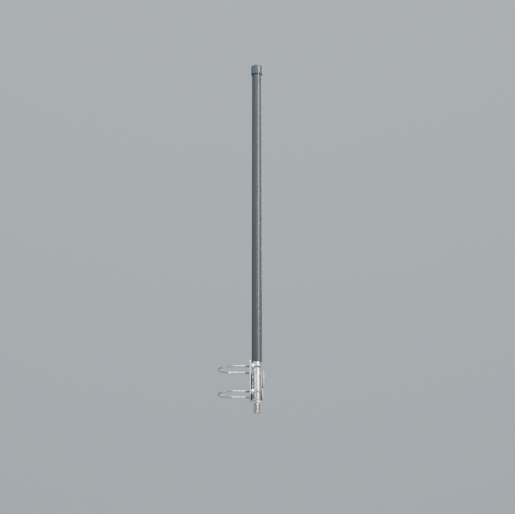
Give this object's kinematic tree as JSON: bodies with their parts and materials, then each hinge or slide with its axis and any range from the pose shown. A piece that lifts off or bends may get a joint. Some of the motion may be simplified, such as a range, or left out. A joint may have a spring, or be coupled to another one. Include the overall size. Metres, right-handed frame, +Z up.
{
  "type": "omnidirectional antenna",
  "caption": "Slim fibreglass omnidirectional antenna with a capped grey radome, an aluminium base sleeve, a coaxial connector underneath and a U-bolt mast bracket.",
  "frame": {"origin": "on the mast's axis, level with the middle of the mast plate", "axes": "+Z up along the mast and the antenna, +X from the mast to the antenna, so -Y is the side where the sleeve lies open to view"},
  "size_m": [0.1103, 0.092, 0.8839],
  "materials": {
    "radome_fibreglass": "satin paint over fibreglass",
    "cap_plastic": "smooth moulded gloss",
    "seal_rubber": "matt black",
    "spacer_foam": "closed-cell foam",
    "radiator_brass": "drawn brass",
    "coil_copper": "bright copper",
    "insulator_white": "turned PTFE",
    "base_aluminium": "turned and anodised, satin",
    "screw_steel": "plain stainless",
    "connector_nickel": "nickel plate",
    "contact_gold": "gold plate",
    "bracket_zinc": "bright zinc plate",
    "clamp_zinc": "bright zinc plate"
  },
  "bodies": {
    "antenna": {"radome_tube": "radome_fibreglass", "top_cap": "cap_plastic", "cap_seal": "seal_rubber", "base_o_ring": "seal_rubber", "connector_gasket": "seal_rubber", "tip_plug": "spacer_foam", "foam_spacer_1": "spacer_foam", "foam_spacer_2": "spacer_foam", "foam_spacer_3": "spacer_foam", "foam_spacer_4": "spacer_foam", "radiator_1": "radiator_brass", "radiator_2": "radiator_brass", "radiator_3": "radiator_brass", "radiator_4": "radiator_brass", "choke_sleeve": "radiator_brass", "phasing_coil_1": "coil_copper", "phasing_coil_2": "coil_copper", "phasing_coil_3": "coil_copper", "coax_shield": "coil_copper", "coax_core": "coil_copper", "coil_former_1": "insulator_white", "coil_former_2": "insulator_white", "coil_former_3": "insulator_white", "coax_dielectric": "insulator_white", "connector_insulator": "insulator_white", "base_sleeve": "base_aluminium", "sleeve_grub_screw": "screw_steel", "cradle_screws": "screw_steel", "cradle_screw_washers": "screw_steel", "cradle_rivets": "screw_steel", "connector_shell": "connector_nickel", "centre_contact": "contact_gold", "mast_plate": "bracket_zinc", "cradle": "bracket_zinc", "flat_washers": "clamp_zinc", "spring_washers": "clamp_zinc"},
    "upper_clamp": {"upper_u_bolt": "clamp_zinc"},
    "lower_clamp": {"lower_u_bolt": "clamp_zinc"},
    "upper_front_nut": {"upper_front_nut": "clamp_zinc"},
    "upper_rear_nut": {"upper_rear_nut": "clamp_zinc"},
    "lower_front_nut": {"lower_front_nut": "clamp_zinc"},
    "lower_rear_nut": {"lower_rear_nut": "clamp_zinc"}
  },
  "joints": [
    {"name": "upper_front_nut_turn", "type": "hinge", "parent": "antenna", "child": "upper_front_nut", "pos_m": [0.04365, -0.0378, 0.0275], "axis": [1, 0, 0], "range_deg": [-5800, 4720]},
    {"name": "upper_rear_nut_turn", "type": "hinge", "parent": "antenna", "child": "upper_rear_nut", "pos_m": [0.04665, 0.0378, 0.0275], "axis": [1, 0, 0], "range_deg": [-5800, 4720]},
    {"name": "upper_clamp_slide", "type": "slide", "parent": "antenna", "child": "upper_clamp", "axis": [-1, 0, 0], "range_m": [-0.016, 0.013]},
    {"name": "lower_front_nut_turn", "type": "hinge", "parent": "antenna", "child": "lower_front_nut", "pos_m": [0.04365, -0.0378, -0.0325], "axis": [1, 0, 0], "range_deg": [-5800, 4720]},
    {"name": "lower_rear_nut_turn", "type": "hinge", "parent": "antenna", "child": "lower_rear_nut", "pos_m": [0.04665, 0.0378, -0.0325], "axis": [1, 0, 0], "range_deg": [-5800, 4720]},
    {"name": "lower_clamp_slide", "type": "slide", "parent": "antenna", "child": "lower_clamp", "axis": [-1, 0, 0], "range_m": [-0.016, 0.013]}
  ],
  "couplings": [
    {"joint": "upper_front_nut_turn", "follows": "upper_clamp_slide", "rad_per_m": 6283.2},
    {"joint": "upper_rear_nut_turn", "follows": "upper_clamp_slide", "rad_per_m": 6283.2},
    {"joint": "lower_front_nut_turn", "follows": "lower_clamp_slide", "rad_per_m": 6283.2},
    {"joint": "lower_rear_nut_turn", "follows": "lower_clamp_slide", "rad_per_m": 6283.2}
  ]
}
